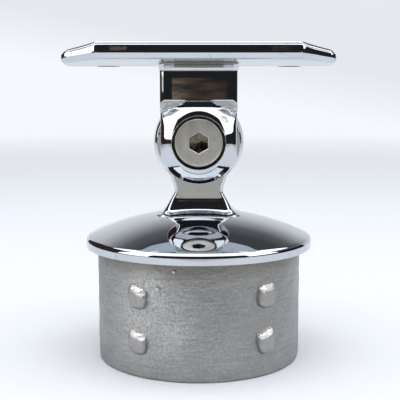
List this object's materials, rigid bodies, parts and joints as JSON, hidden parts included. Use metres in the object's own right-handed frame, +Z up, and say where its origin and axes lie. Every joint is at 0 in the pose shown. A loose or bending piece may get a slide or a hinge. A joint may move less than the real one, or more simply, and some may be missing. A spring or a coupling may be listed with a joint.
{
  "type": "handrail bracket",
  "caption": "Polished handrail bracket for the end of a round post: a plug with a domed cap, and a concave rail saddle that tilts on a screwed knuckle.",
  "frame": {"origin": "centre of the flange's underside, on the post's axis, in the plane of the post's end", "axes": "+Z up the post's axis towards the handrail, +X along the handrail, +Y along the hinge, away from the screw's head"},
  "size_m": [0.059, 0.0508, 0.07],
  "materials": {
    "cap_casting": "stainless casting, mirror-polished flange, dome and neck, plug left matte as cast",
    "saddle_casting": "stainless casting, mirror-polished all over",
    "screw_steel": "plain turned stainless, matte"
  },
  "bodies": {
    "base": {"post_cap_base": "cap_casting"},
    "saddle": {"rail_saddle": "saddle_casting", "hinge_screw": "screw_steel"}
  },
  "joints": [
    {"name": "saddle_tilt", "type": "hinge", "parent": "base", "child": "saddle", "pos_m": [0, 0, 0.0235], "axis": [0, 1, 0], "range_deg": [-60, 60]}
  ]
}
